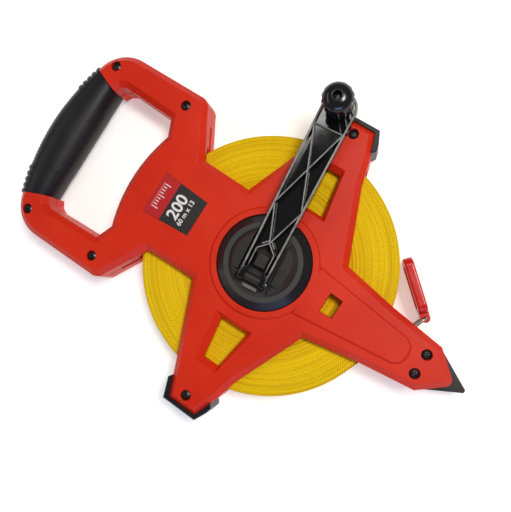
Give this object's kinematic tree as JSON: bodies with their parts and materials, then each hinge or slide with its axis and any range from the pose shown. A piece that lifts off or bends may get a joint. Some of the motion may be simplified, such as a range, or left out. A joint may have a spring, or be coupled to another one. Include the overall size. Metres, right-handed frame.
{
  "type": "surveyor tape reel",
  "caption": "Open-frame surveying tape reel with hand grip, ground spike, folding crank with turning knob, wound yellow tape and finger hook.",
  "frame": {"origin": "on the spindle axis, at the outer face of the rear frame half that the reel lies on", "axes": "+Z along the spindle towards the crank, +X from the hand grip to the ground spike, +Y towards the side arm where the tape leaves"},
  "size_m": [0.3822, 0.2606, 0.0795],
  "materials": {
    "red_abs": "satin",
    "black_plastic": "gloss",
    "grey_plastic": "matte",
    "rubber": "matte",
    "steel": "satin",
    "spike_black": "satin",
    "tape_yellow": "satin",
    "label": "gloss"
  },
  "bodies": {
    "frame": {"front_frame": "red_abs", "rear_frame": "red_abs", "frame_screws": "spike_black", "hand_grip": "rubber", "corner_foot_left": "rubber", "corner_foot_right": "rubber", "ground_spike": "spike_black", "label": "label", "tape_lead": "tape_yellow"},
    "reel": {"drum_front": "black_plastic", "drum_rear": "black_plastic", "drum_screws": "steel", "tape_roll": "tape_yellow", "tape_anchor": "steel", "crank_seat": "grey_plastic", "detent_spring": "steel", "hinge_pin": "steel"},
    "crank": {"crank_arm": "black_plastic", "knob_washer": "steel", "knob_screw": "steel"},
    "crank_knob": {"knob": "black_plastic"},
    "tape_ring": {"end_ring": "steel"},
    "tape_hook": {"end_hook": "red_abs"}
  },
  "joints": [
    {"name": "reel_spin", "type": "hinge", "parent": "frame", "child": "reel", "pos_m": [0, 0, 0.017], "axis": [0, 0, 1], "continuous": true},
    {"name": "crank_fold", "type": "hinge", "parent": "reel", "child": "crank", "pos_m": [0.0013, -0.01354, 0.04625], "axis": [0.9954, 0.0958, 0], "range_deg": [0, 180]},
    {"name": "knob_spin", "type": "hinge", "parent": "crank", "child": "crank_knob", "pos_m": [-0.01166, 0.12104, 0.04625], "axis": [0, 0, 1], "continuous": true},
    {"name": "ring_swing", "type": "hinge", "parent": "frame", "child": "tape_ring", "pos_m": [0.11034, 0.00881, 0.017], "axis": [0, 0, 1], "range_deg": [-8, 0]},
    {"name": "hook_swing", "type": "hinge", "parent": "tape_ring", "child": "tape_hook", "pos_m": [0.1184, 0.02927, 0.017], "axis": [0, 0, 1], "range_deg": [-115, 0]}
  ]
}
